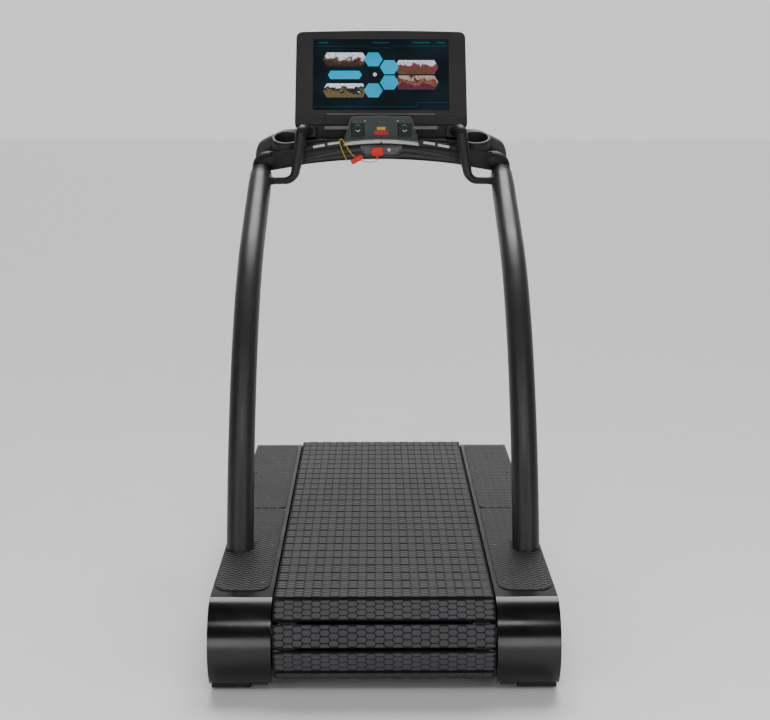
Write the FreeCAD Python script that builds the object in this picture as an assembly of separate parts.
"""Motorised slat-belt treadmill: one STEP file per sub-part.

Frame: millimetres, +X to the runner's right, +Y forward (the way the runner faces), +Z up.
The origin is on the floor, midway between the rearmost and the foremost point.
"""
import FreeCAD, Part
import math
import os

V = FreeCAD.Vector

# ---------------------------------------------------------------- driving dimensions
LENGTH = 1803.0             # rear belt nose to front hood
WIDTH = 890.0               # over both side covers
DECK_Z = 245.0              # running surface above the floor
SLAT_PITCH = 60.0
SLAT_GAP = 2.0
SLAT_LENGTH = 559.0         # belt width
SLATS_PER_HALF_WRAP = 5
FLAT_PITCHES = 25           # axle distance in slat pitches
PITCH_RADIUS = SLATS_PER_HALF_WRAP * SLAT_PITCH / math.pi
SURFACE_OFFSET = 15.0       # running surface outside the pitch line
NOSE_RADIUS = PITCH_RADIUS + SURFACE_OFFSET
STEP_ANGLE = 180.0 / SLATS_PER_HALF_WRAP
AXLE_Z = DECK_Z - NOSE_RADIUS
TREAD_ROUND = 1.2           # rounding of a tread's long edges
REAR_SLAT_ANGLE = math.radians(2 * STEP_ANGLE)
NOSE_REACH = (                  # how far the belt's rearmost slat reaches behind the rear axle
    (NOSE_RADIUS - TREAD_ROUND) * math.sin(REAR_SLAT_ANGLE)
    + ((SLAT_PITCH - SLAT_GAP) / 2 - TREAD_ROUND) * math.cos(REAR_SLAT_ANGLE)
    + TREAD_ROUND
)
REAR_AXLE_Y = -LENGTH / 2 + NOSE_REACH
FRONT_AXLE_Y = REAR_AXLE_Y + FLAT_PITCHES * SLAT_PITCH
CREASE_Y = REAR_AXLE_Y - SLAT_PITCH / 2     # rear edge of the rearmost flat slat
FRONT_Y = LENGTH / 2

TREAD_THICKNESS = 7.0
FLANGE_THICKNESS = 5.0
FLANGE_WIDTH = 54.0
FLANGE_LENGTH = 551.0
WEB_THICKNESS = 6.0
WEB_DEPTH = 32.0            # web tip inside the pitch line
WEB_LENGTH = 428.0
BELT_X = 245.0              # centre of each side belt
BELT_WIDTH = 38.0
BELT_THICKNESS = 6.0
RUNNING_GAP = 0.4           # clearance between a uniform belt and what turns in it

AXLE_RADIUS = 12.5
AXLE_HALF = 356.0
PULLEY_WIDTH = 42.0
BEARING_RADIUS = 26.0
SHAFT_PLAY = 0.06           # running clearance on the radius

RAIL_IN, RAIL_OUT = 320.0, 358.0
RAIL_Z0, RAIL_Z1 = 82.0, 187.0
RAIL_WALL = 3.0

COVER_IN = 285.0
COVER_OUT = WIDTH / 2
COVER_Z0 = 20.0
COVER_DROP = 10.0           # cover top below the running surface
COVER_TOP = DECK_Z - COVER_DROP
COVER_WALL = 2.5
COVER_FRONT = 1600.0        # forward of the crease
PAD_THICKNESS = 3.0

MOTOR_FORWARD = 1420.0
MOTOR_RADIUS = 50.0
DRIVE_X = 300.0             # plane of the drive belt, on the left
DRIVE_WIDTH = 22.0
BIG_PULLEY_RADIUS = 62.0
SMALL_PULLEY_RADIUS = 26.0
DRIVE_BELT_THICKNESS = 4.0

LIFT_FORWARD = 1310.0
LIFT_SHAFT_Z = 130.0
LIFT_SHAFT_RADIUS = 15.0
LIFT_ARM_LENGTH = 300.0
WHEEL_RADIUS = 35.0
WHEEL_WIDTH = 30.0

UPRIGHT_X = 403.0
UPRIGHT_RADIUS = 38.0
UPRIGHT_WALL = 3.0
UPRIGHT_ROUTE = [(383, 135), (498, 491), (674, 772), (891, 976), (1377, 1206)]   # forward, height
COLLAR_LENGTH = 26.0
COLLAR_FOOT, COLLAR_HEAD = 39.0, 35.4       # collar radii at the tube and at the neck
NECK_RADIUS, NECK_BEND = 34.0, 38.0
HANDLE_RADIUS = 15.0
HANDLE_BENDS = [30, 300, 36]

SCREEN_WIDTH = 590.0
SCREEN_BELOW, SCREEN_ABOVE = 185.5, 164.0   # from the display's centre, in its plane
SCREEN_DEPTH = 46.0
SCREEN_TILT = 24.0
SCREEN_FORWARD, SCREEN_Z = 1590.0, 1542.7
DISPLAY_WIDTH, DISPLAY_HEIGHT = 468.0, 263.0

FACE_FORWARD = 1395.0       # user's face of the console beam
CONSOLE_BACK = 1545.0
BEAM_HALF = 270.0           # half the beam between the wings
BEAM_EDGES = (1263.0, 1244.0, 1331.0, 1307.0)   # lower edge mid and end, upper edge mid and end
BEAM_WALL = 7.0
TRAY_HALF = 262.0
POD_TILT = 36.0
POD_FORWARD, POD_Z = 1436.0, 1322.0         # lower edge of the pod's face
POD_HEIGHT = 104.0
POD_THICKNESS = 22.0
POD_BOTTOM_WIDTH, POD_TOP_WIDTH = 253.0, 216.0
KEY_X = 79.0
KEY_WIDTH, KEY_HEIGHT = 44.0, 54.0
KEY_PIVOT_Y, KEY_PIVOT_Z = 2.0, 48.0        # rocker pivot in the pod's own axes
KEY_PIVOT_RADIUS = 2.5
CUP_X, CUP_FORWARD, CUP_RIM_Z = 318.0, 1425.0, 1336.0   # centre of the right rim
CUP_TILT = 23.0             # the rims lean towards the user
CUP_RADIUS = 39.0
CUP_WALL = 3.0
CUP_DEPTH = 70.0
CUP_RIM_RADIUS = 47.0
STOP_X, STOP_Z = -13.0, 1289.0
JACK_X, JACK_Z = 26.0, 1295.0
STOP_TRAVEL = 4.0
KEY_PLUG_Z = 1269.5         # magnet plug of the safety lanyard
KEY_PLUG_RADIUS = 4.5

CORD_DIAMETER = 3.0
CORD_FORWARD = 1387.5


# ---------------------------------------------------------------- helpers
def fwd(distance):
    """Y of a place given as its distance forward of the belt's rear edge."""
    return CREASE_Y + distance


def box(x0, x1, y0, y1, z0, z1):
    return Part.makeBox(x1 - x0, y1 - y0, z1 - z0, V(x0, y0, z0))


def bar_x(x0, x1, y, z, radius):
    return Part.makeCylinder(radius, x1 - x0, V(x0, y, z), V(1, 0, 0))


def ring_x(x0, x1, y, z, outer, inner):
    return bar_x(x0, x1, y, z, outer).cut(bar_x(x0 - 1, x1 + 1, y, z, inner))


def tube_z(x, y, z0, z1, outer, inner):
    body = Part.makeCylinder(outer, z1 - z0, V(x, y, z0))
    return body.cut(Part.makeCylinder(inner, z1 - z0 + 2, V(x, y, z0 - 1)))


def mirrored(shape):
    return shape.mirror(V(0, 0, 0), V(1, 0, 0))


def both(shape):
    return [shape, mirrored(shape)]


def rounded(shape, radius, keep):
    """Fillets the edges for which keep(edge) is true."""
    return shape.makeFillet(radius, [e for e in shape.Edges if keep(e)])


def runs_along(edge, axis):
    first, last = edge.Vertexes[0].Point, edge.Vertexes[-1].Point
    step = last.sub(first)
    return step.Length > 1e-6 and abs(step.normalize().dot(axis)) > 0.999


def prism_x(points, x0, x1):
    """Closed (y, z) polygon pushed along X."""
    wire = Part.makePolygon([V(x0, y, z) for y, z in points + points[:1]])
    return Part.Face(wire).extrude(V(x1 - x0, 0, 0))


def prism_y(points, y0, y1):
    """Closed (x, z) polygon pushed along Y."""
    wire = Part.makePolygon([V(x, y0, z) for x, z in points + points[:1]])
    return Part.Face(wire).extrude(V(0, y1 - y0, 0))


def tilted(shape, angle, y, z):
    """Turns a piece made upright at the origin so that its top leans forward, then places it."""
    piece = shape.copy()
    piece.rotate(V(0, 0, 0), V(1, 0, 0), -angle)
    piece.translate(V(0, y, z))
    return piece


def corner(before, point, after, radius):
    """Ends and middle of the arc that rounds one corner of a route."""
    back = before.sub(point).normalize()
    ahead = after.sub(point).normalize()
    half_turn = (math.pi - back.getAngle(ahead)) / 2
    length = radius * math.tan(half_turn)
    bisector = back.add(ahead).normalize()
    middle = point.add(bisector.multiply(radius / math.cos(half_turn) - radius))
    start = point.add(back.multiply(length))
    end = point.add(ahead.multiply(length))
    return start, middle, end


def largest_radii(points, share=0.45):
    """The largest radius that each corner's two runs allow."""
    radii = []
    for a, b, c in zip(points, points[1:], points[2:]):
        half_turn = (math.pi - a.sub(b).getAngle(c.sub(b))) / 2
        radii.append(share * min(a.distanceToPoint(b), b.distanceToPoint(c)) / math.tan(half_turn))
    return radii


def route_wire(points, radii):
    """Straight runs joined by tangent arcs."""
    edges = []
    here = points[0]
    for a, b, c, radius in zip(points, points[1:], points[2:], radii):
        start, middle, end = corner(a, b, c, radius)
        if here.distanceToPoint(start) > 1e-4:
            edges.append(Part.LineSegment(here, start).toShape())
        edges.append(Part.Arc(start, middle, end).toShape())
        here = end
    edges.append(Part.LineSegment(here, points[-1]).toShape())
    return Part.Wire(edges)


def swept(points, radii, radius):
    wire = route_wire(points, radii)
    circle = Part.makeCircle(radius, points[0], points[1].sub(points[0]))
    return wire.makePipeShell([Part.Wire(circle)], True, True), wire.Length


def export(name, *solids):
    """Writes one node; a node of several pieces keeps them as separate solids."""
    flat = []
    for piece in solids:
        flat.extend(piece.Solids)
    shape = flat[0] if len(flat) == 1 else Part.makeCompound(flat)
    if not shape.isValid():
        print("not valid:", name)
    shape.exportStep("parts/" + name + ".step")


# ---------------------------------------------------------------- slat belt
def tread():
    """One rubber tread at the origin: its top is the running surface, z = 0 is the pitch line."""
    half = (SLAT_PITCH - SLAT_GAP) / 2
    top = SURFACE_OFFSET
    block = box(-SLAT_LENGTH / 2, SLAT_LENGTH / 2, -half, half, top - TREAD_THICKNESS, top)
    return rounded(block, TREAD_ROUND, lambda e: min(v.Point.z for v in e.Vertexes) > top - 0.1)


def t_bar():
    """One aluminium T-bar under a tread: flange on the side belts, web between them."""
    low = BELT_THICKNESS / 2
    half = FLANGE_WIDTH / 2
    flange = box(-FLANGE_LENGTH / 2, FLANGE_LENGTH / 2, -half, half, low, low + FLANGE_THICKNESS)
    web = box(-WEB_LENGTH / 2, WEB_LENGTH / 2, -WEB_THICKNESS / 2, WEB_THICKNESS / 2, -WEB_DEPTH, low)
    return flange.fuse(web).removeSplitter()


def on_top(piece, steps):
    copy = piece.copy()
    copy.translate(V(0, REAR_AXLE_Y + steps * SLAT_PITCH, AXLE_Z + PITCH_RADIUS))
    return copy


def on_wrap(piece, axle_y, angle):
    """Carries a piece from the top of a drum, turned by angle about +X."""
    copy = piece.copy()
    copy.translate(V(0, 0, PITCH_RADIUS))
    copy.rotate(V(0, 0, 0), V(1, 0, 0), angle)
    copy.translate(V(0, axle_y, AXLE_Z))
    return copy


def on_bottom(piece, steps):
    copy = on_wrap(piece, 0, 180)
    copy.translate(V(0, REAR_AXLE_Y + steps * SLAT_PITCH, 0))
    return copy


def slat_belt():
    """Four groups by motion. Each run starts with the slat that is about to leave a drum."""
    angles = [k * STEP_ANGLE for k in range(SLATS_PER_HALF_WRAP)]
    for name, piece in (("belt_treads", tread()), ("belt_bars", t_bar())):
        export(name + "_top", *[on_top(piece, k + 1) for k in range(FLAT_PITCHES)])
        export(name + "_bottom", *[on_bottom(piece, k) for k in range(FLAT_PITCHES)])
        export(name + "_rear", *[on_wrap(piece, REAR_AXLE_Y, a) for a in angles])
        export(name + "_front", *[on_wrap(piece, FRONT_AXLE_Y, a - 180) for a in angles])


def stadium(x0, x1, rear, front, r_rear, r_front):
    """Solid between two parallel discs of different sizes and their outer tangents."""
    gap = front - rear
    lean = math.asin((r_front - r_rear) / gap)
    sin, cos = math.sin(lean), math.cos(lean)
    rear_top = (rear - r_rear * sin, AXLE_Z + r_rear * cos)
    front_top = (front - r_front * sin, AXLE_Z + r_front * cos)
    front_low = (front_top[0], 2 * AXLE_Z - front_top[1])
    rear_low = (rear_top[0], 2 * AXLE_Z - rear_top[1])

    def at(place):
        return V(x0, place[0], place[1])

    edges = [
        Part.LineSegment(at(rear_top), at(front_top)).toShape(),
        Part.Arc(at(front_top), at((front + r_front, AXLE_Z)), at(front_low)).toShape(),
        Part.LineSegment(at(front_low), at(rear_low)).toShape(),
        Part.Arc(at(rear_low), at((rear - r_rear, AXLE_Z)), at(rear_top)).toShape(),
    ]
    return Part.Face(Part.Wire(edges)).extrude(V(x1 - x0, 0, 0))


def loop(x0, x1, rear, front, r_rear, r_front, thickness):
    outer = stadium(x0, x1, rear, front, r_rear + thickness, r_front + thickness)
    return outer.cut(stadium(x0 - 1, x1 + 1, rear, front, r_rear, r_front))


def side_belts():
    low = PITCH_RADIUS - BELT_THICKNESS / 2
    x0, x1 = BELT_X - BELT_WIDTH / 2, BELT_X + BELT_WIDTH / 2
    belt = loop(x0, x1, REAR_AXLE_Y, FRONT_AXLE_Y, low, low, BELT_THICKNESS - RUNNING_GAP)
    export("side_belts", *both(belt))


def drum(name, axle_y, driven):
    """Axle with two belt pulleys; a driven one also carries the drive belt's pulley."""
    axle = bar_x(-AXLE_HALF, AXLE_HALF, axle_y, AXLE_Z, AXLE_RADIUS)
    export(name + "_axle", axle)
    outer = PITCH_RADIUS - BELT_THICKNESS / 2 - RUNNING_GAP
    x0, x1 = BELT_X - PULLEY_WIDTH / 2, BELT_X + PULLEY_WIDTH / 2
    rim = ring_x(x0, x1, axle_y, AXLE_Z, outer, outer - 10)
    hub = ring_x(x0 + 4, x1 - 4, axle_y, AXLE_Z, 30, AXLE_RADIUS)
    web = ring_x(BELT_X - 5, BELT_X + 5, axle_y, AXLE_Z, outer - 9, 29)
    pulley = rim.fuse([hub, web])
    for k in range(5):
        turn = math.radians(72 * k)
        y, z = axle_y + 54 * math.cos(turn), AXLE_Z + 54 * math.sin(turn)
        pulley = pulley.cut(bar_x(BELT_X - 8, BELT_X + 8, y, z, 16))
    pieces = both(pulley)
    if driven:
        x = -DRIVE_X
        half = DRIVE_WIDTH / 2
        pieces.append(ring_x(x - half, x + half, axle_y, AXLE_Z, BIG_PULLEY_RADIUS, AXLE_RADIUS))
    export(name + "_pulleys", *pieces)


def axle_bearings():
    rings = []
    for axle_y in (REAR_AXLE_Y, FRONT_AXLE_Y):
        ring = ring_x(RAIL_IN, RAIL_OUT, axle_y, AXLE_Z, BEARING_RADIUS, AXLE_RADIUS + SHAFT_PLAY)
        rings.extend(both(ring))
    export("axle_bearings", *rings)


def bearing_rails():
    """Channels between the drums that carry the side belts on small rollers."""
    floor_z = AXLE_Z + 30
    y0, y1 = fwd(150), fwd(1410)
    x0, x1 = BELT_X - 15, BELT_X + 15
    channel = box(x0, x1, y0, y1, floor_z, DECK_Z - 26)
    channel = channel.cut(box(x0 + 4, x1 - 4, y0 - 1, y1 + 1, floor_z + 5, DECK_Z))
    radius = 15.0
    z = AXLE_Z + PITCH_RADIUS - BELT_THICKNESS / 2 - RUNNING_GAP - radius
    rollers = []
    count = 16
    for k in range(count):
        y = y0 + 30 + k * (y1 - y0 - 60) / (count - 1)
        roller = bar_x(BELT_X - 10, BELT_X + 10, y, z, radius)
        pin = bar_x(x0 - 3, x1 + 3, y, z, 4)
        channel = channel.cut(bar_x(x0 - 5, x1 + 5, y, z, 4.05))
        rollers.extend(both(roller.fuse(pin)))
    export("bearing_rails", *both(channel))
    export("track_rollers", *rollers)


# ---------------------------------------------------------------- frame, drive and lift
def frame_rails():
    y0, y1 = fwd(-22), fwd(1650)
    rail = box(RAIL_IN, RAIL_OUT, y0, y1, RAIL_Z0, RAIL_Z1)
    wall = RAIL_WALL
    rail = rail.cut(box(RAIL_IN + wall, RAIL_OUT - wall, y0 - 1, y1 + 1, RAIL_Z0 + wall, RAIL_Z1 - wall))
    for axle_y in (REAR_AXLE_Y, FRONT_AXLE_Y):
        rail = rail.cut(bar_x(RAIL_IN - 1, RAIL_OUT + 1, axle_y, AXLE_Z, BEARING_RADIUS))
    y = fwd(LIFT_FORWARD)
    rail = rail.cut(bar_x(RAIL_IN - 1, RAIL_OUT + 1, y, LIFT_SHAFT_Z, LIFT_SHAFT_RADIUS + SHAFT_PLAY))
    export("frame_rails", *both(rail))


def crossmembers():
    pieces = []
    for forward in (200, 620, 1040, 1245):
        y = fwd(forward)
        tube = box(-RAIL_IN, RAIL_IN, y - 20, y + 20, AXLE_Z - 30, AXLE_Z + 30)
        pieces.append(tube.cut(box(-RAIL_IN - 1, RAIL_IN + 1, y - 17, y + 17, AXLE_Z - 27, AXLE_Z + 27)))
    y = fwd(MOTOR_FORWARD)
    plate = box(-222, -212, y - 55, y + 52, AXLE_Z - 52, AXLE_Z + 52)
    plate = plate.cut(bar_x(-230, -200, y, AXLE_Z, 14))
    arm = box(-RAIL_IN, -222, y - 55, y - 38, AXLE_Z - 52, AXLE_Z - 36)
    pieces.append(plate.fuse(arm).removeSplitter())
    export("frame_crossmembers", *pieces)


def brackets():
    """Plates that hold the uprights on the rails, and posts under the cover tops."""
    pieces = []
    foot = route_points()[0]
    plate = box(RAIL_OUT, UPRIGHT_X, foot.y - 55, foot.y + 75, RAIL_Z0 + 4, RAIL_Z1 - 4)
    solid, _ = upright_solid(UPRIGHT_RADIUS)
    pieces.extend(both(plate.cut(solid)))
    for forward in (60, 700, 1200, 1530):
        y = fwd(forward)
        post = box(RAIL_OUT - 25, RAIL_OUT - 5, y - 20, y + 20, RAIL_Z1, COVER_TOP - COVER_WALL)
        pieces.extend(both(post))
    export("support_brackets", *pieces)


def drive():
    y = fwd(MOTOR_FORWARD)
    can = bar_x(-212, 60, y, AXLE_Z, MOTOR_RADIUS)
    can = can.cut(bar_x(-220, 80, y, AXLE_Z, AXLE_RADIUS - 2.5 + SHAFT_PLAY))
    fins = can
    for k in range(12):
        x = -195 + 20 * k
        fins = fins.cut(ring_x(x, x + 8, y, AXLE_Z, MOTOR_RADIUS + 1, MOTOR_RADIUS - 4))
    export("drive_motor", fins)
    half = DRIVE_WIDTH / 2
    shaft = bar_x(-DRIVE_X - half, 66, y, AXLE_Z, AXLE_RADIUS - 2.5)
    pulley = bar_x(-DRIVE_X - half, -DRIVE_X + half, y, AXLE_Z, SMALL_PULLEY_RADIUS)
    export("motor_rotor", shaft.fuse(pulley).removeSplitter())
    belt = loop(-DRIVE_X - half + 1, -DRIVE_X + half - 1, y, FRONT_AXLE_Y,
                SMALL_PULLEY_RADIUS + RUNNING_GAP, BIG_PULLEY_RADIUS + RUNNING_GAP, DRIVE_BELT_THICKNESS)
    export("drive_belt", belt)


def wheel_place():
    drop = LIFT_SHAFT_Z - WHEEL_RADIUS
    reach = math.sqrt(LIFT_ARM_LENGTH ** 2 - drop ** 2)
    return fwd(LIFT_FORWARD) + reach, WHEEL_RADIUS


def lift():
    """Two arms on one shaft push the front wheels down; a worm gearmotor turns the shaft."""
    y, z = fwd(LIFT_FORWARD), LIFT_SHAFT_Z
    wheel_y, wheel_z = wheel_place()
    arm_in, arm_out = 366.0, 378.0
    shaft = bar_x(-arm_out, arm_out, y, z, LIFT_SHAFT_RADIUS)
    dy, dz = wheel_y - y, wheel_z - z
    across = V(0, -dz, dy).normalize().multiply(19)
    corners = [(y + across.y, z + across.z), (wheel_y + across.y, wheel_z + across.z),
               (wheel_y - across.y, wheel_z - across.z), (y - across.y, z - across.z)]
    arm = prism_x(corners, arm_in, arm_out)
    arm = arm.fuse([bar_x(arm_in, arm_out, y, z, 26), bar_x(arm_in, arm_out, wheel_y, wheel_z, 19)])
    pin = bar_x(arm_in, arm_out + WHEEL_WIDTH + 8, wheel_y, wheel_z, 8)
    arm = arm.fuse(pin).removeSplitter()
    legs = shaft.fuse(both(arm)).removeSplitter()
    export("lift_arms", legs)
    tyre = bar_x(arm_out + 3, arm_out + 3 + WHEEL_WIDTH, wheel_y, wheel_z, WHEEL_RADIUS)
    tyre = rounded(tyre, 4, lambda e: e.Length > 200)
    wheel = tyre.cut(bar_x(arm_out, arm_out + 40, wheel_y, wheel_z, 8 + SHAFT_PLAY))
    export("lift_wheel_right", wheel)
    export("lift_wheel_left", mirrored(wheel))
    gearbox = box(-60, 60, y - 45, y + 45, z - 44, z + 44)
    gearbox = rounded(gearbox, 8, lambda e: runs_along(e, V(1, 0, 0)))
    motor = bar_x(60, 190, y, z, 38)
    unit = gearbox.fuse(motor).removeSplitter()
    export("lift_gearmotor", unit.cut(bar_x(-70, 200, y, z, LIFT_SHAFT_RADIUS + SHAFT_PLAY)))


def feet():
    """Rear rubber slabs under the covers, and the bolted blocks under the rail ends."""
    slab = box(342, COVER_OUT - 1, fwd(0), fwd(70), 0, COVER_Z0)
    slab = rounded(slab, 6, lambda e: runs_along(e, V(0, 0, 1)))
    post = box(RAIL_IN + 4, RAIL_OUT, fwd(4), fwd(66), COVER_Z0, RAIL_Z0)
    block = box(297, 335, fwd(-6), fwd(50), 11, COVER_Z0 + 4)
    bolts = [tube_z(x, fwd(22), 6, 11, 6, 3) for x in (306, 326)]
    leg = slab.fuse([post, box(RAIL_IN + 4, 400, fwd(4), fwd(66), COVER_Z0 - 1, COVER_Z0 + 4)])
    foot = leg.fuse(block).removeSplitter()
    pieces = both(foot)
    for bolt in bolts:
        pieces.extend(both(bolt))
    export("rear_feet", *pieces)


# ---------------------------------------------------------------- covers and step pads
def cover_profile(inset):
    """Side outline of a cover, closed, as a face at x = 0."""
    top = COVER_TOP - inset
    low = COVER_Z0 - (1 if inset else 0)
    rear_top = V(0, fwd(20) + inset, top)
    nose = V(0, fwd(-62) + inset, DECK_Z - 100)
    rear_low = V(0, fwd(-24) + inset, low)
    front_low = V(0, fwd(COVER_FRONT) + (1 if inset else 0), low)
    front_top = V(0, front_low.y, top - 20)
    shoulder = V(0, fwd(1545), top)
    edges = [
        Part.Arc(rear_low, nose, rear_top).toShape(),
        Part.LineSegment(rear_top, shoulder).toShape(),
        Part.Arc(shoulder, V(0, fwd(1580), top - 6), front_top).toShape(),
        Part.LineSegment(front_top, front_low).toShape(),
        Part.LineSegment(front_low, rear_low).toShape(),
    ]
    return Part.Face(Part.Wire(edges))


def side_covers():
    outer = cover_profile(0).extrude(V(COVER_OUT - COVER_IN, 0, 0))
    outer.translate(V(COVER_IN, 0, 0))
    inner = cover_profile(COVER_WALL).extrude(V(COVER_OUT - COVER_IN - 2 * COVER_WALL, 0, 0))
    inner.translate(V(COVER_IN + COVER_WALL, 0, 0))
    cover = outer.cut(inner)
    window = box(COVER_IN - 1, COVER_IN + COVER_WALL + 0.5, fwd(-30), fwd(COVER_FRONT + 5), 0, COVER_TOP - 38)
    cover = cover.cut(window)
    hole, _ = upright_solid(UPRIGHT_RADIUS + 1.0)
    cover = cover.cut(hole)
    export("side_cover_right", cover)
    export("side_cover_left", mirrored(cover))


def hood_profile(inset):
    low = COVER_Z0 - (1 if inset else 0)
    rear = fwd(COVER_FRONT + 2) - (1 if inset else 0)
    front = FRONT_Y - inset
    top = COVER_TOP - 21 - inset
    bend_a = V(0, front - 62, top - 12)
    bend_b = V(0, front, top - 72)
    edges = [
        Part.LineSegment(V(0, rear, top), bend_a).toShape(),
        Part.Arc(bend_a, V(0, front - 17, top - 32), bend_b).toShape(),
        Part.LineSegment(bend_b, V(0, front, low)).toShape(),
        Part.LineSegment(V(0, front, low), V(0, rear, low)).toShape(),
        Part.LineSegment(V(0, rear, low), V(0, rear, top)).toShape(),
    ]
    return Part.Face(Part.Wire(edges))


def front_hood():
    outer = hood_profile(0).extrude(V(WIDTH, 0, 0))
    outer.translate(V(-WIDTH / 2, 0, 0))
    inner = hood_profile(3).extrude(V(WIDTH - 6, 0, 0))
    inner.translate(V(-WIDTH / 2 + 3, 0, 0))
    hood = outer.cut(inner)
    nose = bar_x(-COVER_IN, COVER_IN, FRONT_AXLE_Y, AXLE_Z, NOSE_RADIUS + 6)
    hood = hood.cut(nose)
    inlet = box(150, 178, FRONT_Y - 10, FRONT_Y + 5, 60, 84)
    export("front_hood", hood.cut(inlet))
    socket = box(150.2, 177.8, FRONT_Y - 24, FRONT_Y - 1, 60.2, 83.8)
    socket = socket.cut(box(154, 174, FRONT_Y - 18, FRONT_Y + 5, 64, 80))
    pins = [box(x - 1, x + 1, FRONT_Y - 19, FRONT_Y - 4, 70, 74) for x in (158, 164, 170)]
    export("power_inlet", socket.fuse(pins).removeSplitter())


def pad(forward0, forward1, rear_radius, front_radius):
    """A step pad with rounded corners, its sides 12 mm and 5 mm inside the cover's edges."""
    x0, x1 = COVER_IN + 12, COVER_OUT - 5
    block = box(x0, x1, fwd(forward0), fwd(forward1), COVER_TOP, COVER_TOP + PAD_THICKNESS)
    middle = fwd((forward0 + forward1) / 2)

    def upright(edge, rear):
        return runs_along(edge, V(0, 0, 1)) and (edge.Vertexes[0].Point.y < middle) == rear

    block = rounded(block, rear_radius, lambda e: upright(e, True))
    return rounded(block, front_radius, lambda e: upright(e, False))


def step_pads():
    hole, _ = upright_solid(UPRIGHT_RADIUS + 1.0)
    screws = []
    rear = pad(67, 776, 46, 20).cut(hole)
    front = pad(780, 1536, 26, 20)
    for x, forward in ((315, 425), (319, 1175), (419, 1175), (315, 120), (425, 700)):
        bore = Part.makeCylinder(3.0, PAD_THICKNESS + 2, V(x, fwd(forward), COVER_TOP - 1))
        rear = rear.cut(bore)
        front = front.cut(bore)
        head = Part.makeCylinder(3.0, PAD_THICKNESS, V(x, fwd(forward), COVER_TOP))
        crown = Part.makeCylinder(4.5, 0.8, V(x, fwd(forward), COVER_TOP + PAD_THICKNESS))
        screws.extend(both(head.fuse(crown)))
    export("step_pads_rear", *both(rear))
    export("step_pads_front", *both(front))
    export("step_pad_screws", *screws)


# ---------------------------------------------------------------- uprights and handles
def route_points():
    return [V(UPRIGHT_X, fwd(f), z) for f, z in UPRIGHT_ROUTE]


def upright_solid(radius):
    points = route_points()
    return swept(points, largest_radii(points, 0.48), radius)


def uprights():
    outer, length = upright_solid(UPRIGHT_RADIUS)
    inner, _ = upright_solid(UPRIGHT_RADIUS - UPRIGHT_WALL)
    tube = outer.cut(inner)
    export("upright_right", tube)
    export("upright_left", mirrored(tube))
    print("upright length", round(length))
    points = route_points()
    along = points[-1].sub(points[-2]).normalize()
    ring = Part.makeCone(COLLAR_FOOT, COLLAR_HEAD, COLLAR_LENGTH, points[-1], along)
    groove = Part.makeCylinder(UPRIGHT_RADIUS + 4, 2.5, points[-1].add(V(along).multiply(8)), along)
    groove = groove.cut(Part.makeCylinder(COLLAR_HEAD + 0.6, 4, points[-1].add(V(along).multiply(7)), along))
    export("upright_collars", *both(ring.cut(groove)))


def handle_points():
    return [
        V(246, fwd(1456), 1355), V(264, fwd(1352), 1362), V(270, fwd(1340), 1290),
        V(290, fwd(1332), 1197), V(UPRIGHT_X - 30, fwd(1350), 1195),
    ]


def handles():
    """J-shaped grips, from the side of the tray round in front of the console to the uprights."""
    grip, length = swept(handle_points(), HANDLE_BENDS, HANDLE_RADIUS)
    upright, _ = upright_solid(UPRIGHT_RADIUS)
    solid = max(grip.cut(upright).cut(tray_block()).Solids, key=lambda s: s.Volume)
    export("handle_right", solid)
    export("handle_left", mirrored(solid))
    print("handle length", round(length))


# ---------------------------------------------------------------- console
def arch(x0, x1, low_mid, low_end, high_mid, high_end, y0, y1):
    """Beam whose lower and upper edges are arcs in the front view."""
    edges = [
        Part.Arc(V(x0, y0, low_end), V(0, y0, low_mid), V(x1, y0, low_end)).toShape(),
        Part.LineSegment(V(x1, y0, low_end), V(x1, y0, high_end)).toShape(),
        Part.Arc(V(x1, y0, high_end), V(0, y0, high_mid), V(x0, y0, high_end)).toShape(),
        Part.LineSegment(V(x0, y0, high_end), V(x0, y0, low_end)).toShape(),
    ]
    return Part.Face(Part.Wire(edges)).extrude(V(0, y1 - y0, 0))


def console_shell():
    y0, y1 = fwd(FACE_FORWARD), fwd(CONSOLE_BACK)
    beam = arch(-BEAM_HALF, BEAM_HALF, *BEAM_EDGES, y0, y1)
    beam = rounded(beam, 6, lambda e: e.Length > 500 and abs(e.CenterOfMass.y - y0) < 0.5)
    low_mid, low_end, high_mid, high_end = BEAM_EDGES
    wall = BEAM_WALL
    hollow = arch(-BEAM_HALF + wall, BEAM_HALF - wall, low_mid + wall, low_end + wall,
                  high_mid - wall, high_end - wall, y0 + wall, y1 + 1)
    shell = beam.cut(hollow)
    shell = shell.cut(pod_block(0.3, 120))
    stop = Part.makeCylinder(13.0, 30, V(STOP_X, y0 - 5, STOP_Z), V(0, 1, 0))
    jack = Part.makeCylinder(5.0, 30, V(JACK_X, y0 - 5, JACK_Z), V(0, 1, 0))
    key = Part.makeCylinder(KEY_PLUG_RADIUS + 0.5, 30, V(STOP_X, y0 - 5, KEY_PLUG_Z), V(0, 1, 0))
    for piece in (stop, jack, key):
        shell = shell.cut(piece)
    export("console_lower_shell", max(shell.Solids, key=lambda s: s.Volume))


def tray_block():
    return box(-TRAY_HALF, TRAY_HALF, fwd(1452), fwd(1552), 1322, 1372)


def console_tray():
    """Rear shelf under the screen with an open storage tray each side of the pod."""
    y0, y1 = fwd(1452), fwd(1552)
    body = rounded(tray_block(), 10, lambda e: runs_along(e, V(0, 1, 0)))
    for x in (-226, 133):
        body = body.cut(box(x, x + 93, y0 - 2, y1 - 14, 1334, 1380))
    lower = arch(-BEAM_HALF, BEAM_HALF, *BEAM_EDGES, fwd(FACE_FORWARD), fwd(CONSOLE_BACK))
    tray = body.cut(lower).cut(pod_block(0.3, 120)).cut(screen_space(-0.5, 0.5))
    export("console_tray", max(tray.Solids, key=lambda s: s.Volume))


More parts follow.
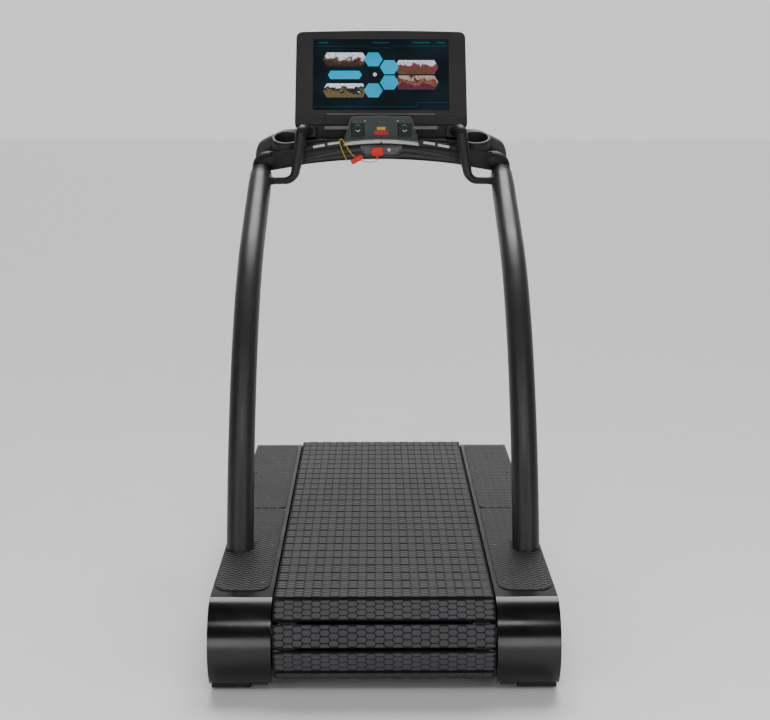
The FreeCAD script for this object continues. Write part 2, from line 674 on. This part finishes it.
def pod_block(grow, ahead=0.0):
    """Tapered control pod, its face leaning back; ahead adds the space in front of the face."""
    low, high = POD_BOTTOM_WIDTH / 2 + grow, POD_TOP_WIDTH / 2 + grow
    points = [(-low, -grow), (low, -grow), (high, POD_HEIGHT + grow), (-high, POD_HEIGHT + grow)]
    block = prism_y(points, -grow - ahead, POD_THICKNESS + grow)
    return tilted(block, POD_TILT, fwd(POD_FORWARD), POD_Z)


def pod_local(shape):
    return tilted(shape, POD_TILT, fwd(POD_FORWARD), POD_Z)


def key_solid(x):
    """Rocker key with a slight crest across its middle, standing 3 mm proud of the pod."""
    half = KEY_WIDTH / 2
    low, high = KEY_PIVOT_Z - KEY_HEIGHT / 2, KEY_PIVOT_Z + KEY_HEIGHT / 2
    outline = [(-2.2, low), (-3.0, KEY_PIVOT_Z), (-2.2, high), (6, high), (6, low)]
    key = prism_x(outline, x - half, x + half)
    key = rounded(key, 1.5, lambda e: runs_along(e, V(1, 0, 0)) and e.CenterOfMass.y < 0)
    pivot = bar_x(x - half - 4, x + half + 4, KEY_PIVOT_Y, KEY_PIVOT_Z, KEY_PIVOT_RADIUS)
    return key.fuse(pivot).removeSplitter()


def control_pod():
    pod = pod_block(0)
    pod = rounded(pod, 5, lambda e: e.Length > 90)
    for x in (-KEY_X, KEY_X):
        half, reach = KEY_WIDTH / 2 + 1, KEY_HEIGHT / 2 + 1.5
        pocket = box(x - half, x + half, -5, 13, KEY_PIVOT_Z - reach, KEY_PIVOT_Z + reach)
        bore_half = KEY_WIDTH / 2 + 4.2
        bore = bar_x(x - bore_half, x + bore_half, KEY_PIVOT_Y, KEY_PIVOT_Z, KEY_PIVOT_RADIUS + SHAFT_PLAY)
        pod = pod.cut(pod_local(pocket.fuse(bore)))
    export("control_pod", pod)
    for name, x in (("rocker_key_left", -KEY_X), ("rocker_key_right", KEY_X)):
        export(name, pod_local(key_solid(x)))


def trim_strip():
    y0 = fwd(FACE_FORWARD)
    strip = arch(-127, 127, 1314, 1305.5, 1327.5, 1318.5, y0 - 3, y0)
    export("trim_strip", strip)


def contact_plates():
    """Pulse contacts: two bright strips on each side of the beam's front edge."""
    y0 = fwd(FACE_FORWARD)
    plates = []
    for x, z, tilt in ((160, 1314.5, 6.5), (208, 1306.5, 9.5)):
        plate = box(-19.5, 19.5, -2.5, 0, -4.6, 4.6)
        plate.rotate(V(0, 0, 0), V(0, 1, 0), tilt)
        plate.translate(V(x, y0, z))
        plates.extend(both(plate))
    export("contact_plates", *plates)


def buttons():
    y0 = fwd(FACE_FORWARD)
    stop = box(-22.5, 22.5, -15, -1, -14.5, 14.5)
    stop = rounded(stop, 13.5, lambda e: runs_along(e, V(0, 1, 0)))
    stop = rounded(stop, 3, lambda e: e.CenterOfMass.y < -14)
    stem = Part.makeCylinder(12.5, 26, V(0, -2, 0), V(0, 1, 0))
    button = stop.fuse(stem).removeSplitter()
    button.translate(V(STOP_X, y0 - STOP_TRAVEL + 0.5, STOP_Z))
    export("stop_button", button)
    jack = Part.makeCylinder(5.0, 16, V(JACK_X, y0 - 1.5, JACK_Z), V(0, 1, 0))
    jack = jack.cut(Part.makeCylinder(1.8, 14, V(JACK_X, y0 - 3, JACK_Z), V(0, 1, 0)))
    export("headphone_jack", jack)


def cup_local(radius, low, high):
    """Cylinder about the right cup's leaning axis; heights run up from its rim."""
    piece = Part.makeCylinder(radius, high - low, V(0, 0, low))
    piece.rotate(V(0, 0, 0), V(1, 0, 0), CUP_TILT)
    piece.translate(V(CUP_X, fwd(CUP_FORWARD), CUP_RIM_Z))
    return piece


def wing():
    """Right console end: the neck over the upright, a cup holder's housing and the bridge to the beam."""
    points = route_points()
    along = points[-1].sub(points[-2]).normalize()
    base = points[-1].add(V(along).multiply(COLLAR_LENGTH))
    elbow = base.add(V(along).multiply(42))
    inner_end = V(CUP_X + 18, fwd(CUP_FORWARD + 43), 1314)
    neck, _ = swept([base, elbow, inner_end], [NECK_BEND], NECK_RADIUS)
    housing = cup_local(CUP_RIM_RADIUS + 3, -88, -4)
    bridge = box(BEAM_HALF, 362, fwd(FACE_FORWARD + 4), fwd(1530), 1246, 1296)
    wing_solid = neck.fuse([housing, bridge])
    wing_solid = wing_solid.cut(cup_local(CUP_RADIUS + CUP_WALL + 0.3, -CUP_DEPTH - CUP_WALL, 60))
    wing_solid = wing_solid.cut(box(0, BEAM_HALF, fwd(1300), fwd(1600), 1200, 1400))
    ring = Part.makeCone(COLLAR_FOOT, COLLAR_HEAD, COLLAR_LENGTH, points[-1], along)
    upright, _ = upright_solid(UPRIGHT_RADIUS)
    return wing_solid.cut(ring).cut(upright)


def wings():
    right = max(wing().Solids, key=lambda s: s.Volume)
    export("console_wing_right", right)
    export("console_wing_left", mirrored(right))
    cup = cup_local(CUP_RADIUS + CUP_WALL, -CUP_DEPTH - CUP_WALL, 0)
    cup = cup.fuse(cup_local(CUP_RIM_RADIUS, -4, 0))
    cup = cup.cut(cup_local(CUP_RADIUS, -CUP_DEPTH, 5))
    export("cup_holders", *both(cup.removeSplitter()))


# ---------------------------------------------------------------- screen
def screen_local(shape):
    return tilted(shape, SCREEN_TILT, fwd(SCREEN_FORWARD), SCREEN_Z)


def screen_space(front, grow):
    half = SCREEN_WIDTH / 2 + grow
    block = box(-half, half, front, SCREEN_DEPTH + grow, -SCREEN_BELOW - grow, SCREEN_ABOVE + grow)
    return screen_local(block)


def screen():
    half = SCREEN_WIDTH / 2
    low, high = -SCREEN_BELOW, SCREEN_ABOVE
    back = box(-half, half, 6, SCREEN_DEPTH, low, high)
    back = rounded(back, 20, lambda e: runs_along(e, V(0, 1, 0)))
    back = rounded(back, 10, lambda e: e.CenterOfMass.y > SCREEN_DEPTH - 1)
    back = back.cut(box(-half + 5, half - 5, 5, SCREEN_DEPTH - 5, low + 5, high - 5))
    export("screen_back_shell", screen_local(back))
    bezel = box(-half, half, 0, 6, low, high)
    bezel = rounded(bezel, 20, lambda e: runs_along(e, V(0, 1, 0)))
    bezel = rounded(bezel, 2.5, lambda e: e.CenterOfMass.y < 0.1)
    dw, dh = DISPLAY_WIDTH / 2, DISPLAY_HEIGHT / 2
    bezel = bezel.cut(box(-dw, dw, -1, 7, -dh, dh))
    for x0, x1 in ((-200, -126), (126, 200)):
        bezel = bezel.cut(box(x0, x1, -1, 4, low + 15, low + 35))
    export("screen_bezel", screen_local(bezel))
    panel = box(-dw + 0.2, dw - 0.2, 1.5, 10, -dh + 0.2, dh - 0.2)
    export("display_panel", screen_local(panel))
    arm = box(-70, 70, SCREEN_DEPTH, SCREEN_DEPTH + 14, low + 34, 60)
    plate = screen_local(arm)
    riser = box(-60, 60, fwd(CONSOLE_BACK) + 7, fwd(CONSOLE_BACK) + 42, 1280, 1440)
    bracket = plate.fuse(riser).cut(screen_space(0, 0))
    export("screen_bracket", max(bracket.Solids, key=lambda s: s.Volume))


# ---------------------------------------------------------------- safety lanyard
def cord_points():
    """Key, sag to the clip, then over the beam's edge strip and back as a bunched loop."""
    route = [
        (-13, 1263), (-18, 1257), (-32, 1254), (-50, 1255), (-66, 1259),
        (-82, 1266), (-95, 1277), (-106, 1290), (-116, 1306), (-125, 1322),
        (-133, 1333), (-140, 1326), (-137, 1310), (-130, 1292), (-123, 1275), (-116, 1260),
    ]
    return [V(x, fwd(CORD_FORWARD), z) for x, z in route]


def lanyard():
    points = cord_points()
    radii = largest_radii(points)
    tube, length = swept(points, radii, CORD_DIAMETER / 2)
    section = math.pi * CORD_DIAMETER ** 2 / 4
    print("cord radii", [round(r, 1) for r in radii])
    print("cord length", round(length, 1), "volume ratio", round(tube.Volume / (section * length), 4))
    y0 = fwd(FACE_FORWARD)
    key = Part.makeCylinder(KEY_PLUG_RADIUS, 16, V(STOP_X, y0 - 10, KEY_PLUG_Z), V(0, 1, 0))
    lug = box(STOP_X - 3, STOP_X + 3, y0 - 10, y0 - 5, points[0].z, points[0].z + 4)
    export("safety_key", key.fuse(lug).removeSplitter())
    clip = box(-21, 21, -4, 4, -9, 9)
    clip = rounded(clip, 4, lambda e: runs_along(e, V(0, 1, 0)))
    clip.rotate(V(0, 0, 0), V(0, 1, 0), -28)
    clip.translate(V(-82, fwd(CORD_FORWARD) - 1, 1263))
    export("lanyard_clip", clip.cut(tube))
    export("lanyard_cord", tube)


# ---------------------------------------------------------------- all parts
def build():
    os.makedirs("parts", exist_ok=True)
    slat_belt()
    side_belts()
    drum("rear", REAR_AXLE_Y, False)
    drum("front", FRONT_AXLE_Y, True)
    axle_bearings()
    bearing_rails()
    frame_rails()
    crossmembers()
    brackets()
    drive()
    lift()
    feet()
    side_covers()
    front_hood()
    step_pads()
    uprights()
    handles()
    console_shell()
    console_tray()
    control_pod()
    trim_strip()
    contact_plates()
    buttons()
    wings()
    screen()
    lanyard()


build()
